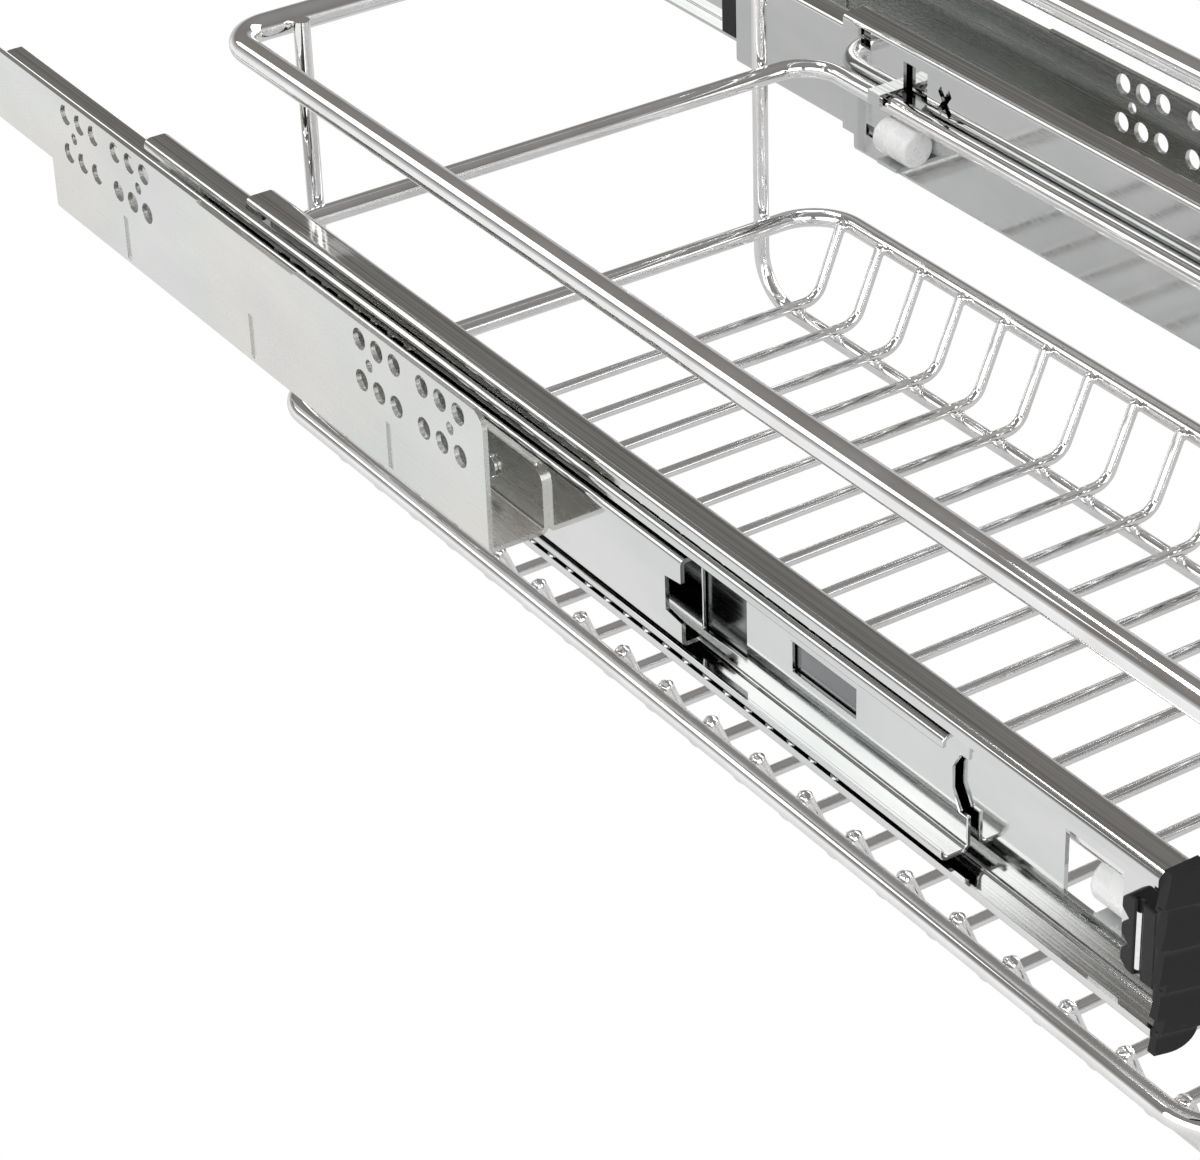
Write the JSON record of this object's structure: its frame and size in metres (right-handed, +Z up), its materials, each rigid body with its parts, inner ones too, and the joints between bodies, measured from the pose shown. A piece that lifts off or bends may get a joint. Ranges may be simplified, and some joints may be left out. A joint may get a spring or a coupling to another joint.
{
  "type": "pull-out cabinet drawer",
  "caption": "Wire basket drawer that pulls out of a cabinet on ball-bearing slides with perforated brackets.",
  "frame": {"origin": "middle of the object's box, on the plane the floor wires stand on", "axes": "+Z up; -Y out of the cabinet, the way the drawer is pulled; +X to the right seen from the front"},
  "size_m": [0.264, 0.5846, 0.1444],
  "materials": {
    "bright_wire": "polished chrome-plated wire",
    "zinc_steel": "bright zinc plate on rolled steel",
    "bracket_steel": "pale satin zinc plate",
    "cage_steel": "thin bright steel strip",
    "ball_steel": "polished ball steel",
    "black_plastic": "moulded black plastic",
    "white_plastic": "translucent white plastic"
  },
  "bodies": {
    "cabinet_side": {"left_bracket": "bracket_steel", "left_cabinet_rail": "zinc_steel", "left_rail_rivets": "zinc_steel", "right_bracket": "bracket_steel", "right_cabinet_rail": "zinc_steel", "right_rail_rivets": "zinc_steel"},
    "basket": {"top_rim": "bright_wire", "middle_frame": "bright_wire", "lower_rim": "bright_wire", "left_runner": "bright_wire", "right_runner": "bright_wire", "cross_wires": "bright_wire", "left_drawer_profile": "zinc_steel", "left_rear_bush": "white_plastic", "left_front_bush": "white_plastic", "left_end_cap": "black_plastic", "left_front_buffer": "black_plastic", "left_buffer_pin": "ball_steel", "right_drawer_profile": "zinc_steel", "right_rear_bush": "white_plastic", "right_front_bush": "white_plastic", "right_end_cap": "black_plastic", "right_front_buffer": "black_plastic", "right_buffer_pin": "ball_steel"},
    "left_middle": {"left_intermediate": "zinc_steel", "left_rear_stop": "black_plastic"},
    "left_rail_cage": {"left_rail_retainer": "cage_steel", "left_rail_balls": "ball_steel"},
    "left_drawer_cage": {"left_drawer_retainer": "cage_steel", "left_drawer_balls": "ball_steel"},
    "right_middle": {"right_intermediate": "zinc_steel", "right_rear_stop": "black_plastic"},
    "right_rail_cage": {"right_rail_retainer": "cage_steel", "right_rail_balls": "ball_steel"},
    "right_drawer_cage": {"right_drawer_retainer": "cage_steel", "right_drawer_balls": "ball_steel"}
  },
  "joints": [
    {"name": "basket_slide", "type": "slide", "parent": "cabinet_side", "child": "basket", "axis": [0, -1, 0], "range_m": [-0.158, 0.202]},
    {"name": "left_middle_slide", "type": "slide", "parent": "cabinet_side", "child": "left_middle", "axis": [0, -1, 0], "range_m": [-0.1055, 0.1349]},
    {"name": "left_rail_cage_slide", "type": "slide", "parent": "cabinet_side", "child": "left_rail_cage", "axis": [0, -1, 0], "range_m": [-0.0529, 0.0676]},
    {"name": "left_drawer_cage_slide", "type": "slide", "parent": "cabinet_side", "child": "left_drawer_cage", "axis": [0, -1, 0], "range_m": [-0.1319, 0.1686]},
    {"name": "right_middle_slide", "type": "slide", "parent": "cabinet_side", "child": "right_middle", "axis": [0, -1, 0], "range_m": [-0.1055, 0.1349]},
    {"name": "right_rail_cage_slide", "type": "slide", "parent": "cabinet_side", "child": "right_rail_cage", "axis": [0, -1, 0], "range_m": [-0.0529, 0.0676]},
    {"name": "right_drawer_cage_slide", "type": "slide", "parent": "cabinet_side", "child": "right_drawer_cage", "axis": [0, -1, 0], "range_m": [-0.1319, 0.1686]}
  ],
  "couplings": [
    {"joint": "left_middle_slide", "follows": "basket_slide", "ratio": 0.66667},
    {"joint": "left_rail_cage_slide", "follows": "basket_slide", "ratio": 0.33333},
    {"joint": "left_drawer_cage_slide", "follows": "basket_slide", "ratio": 0.83333},
    {"joint": "right_middle_slide", "follows": "basket_slide", "ratio": 0.66667},
    {"joint": "right_rail_cage_slide", "follows": "basket_slide", "ratio": 0.33333},
    {"joint": "right_drawer_cage_slide", "follows": "basket_slide", "ratio": 0.83333}
  ]
}
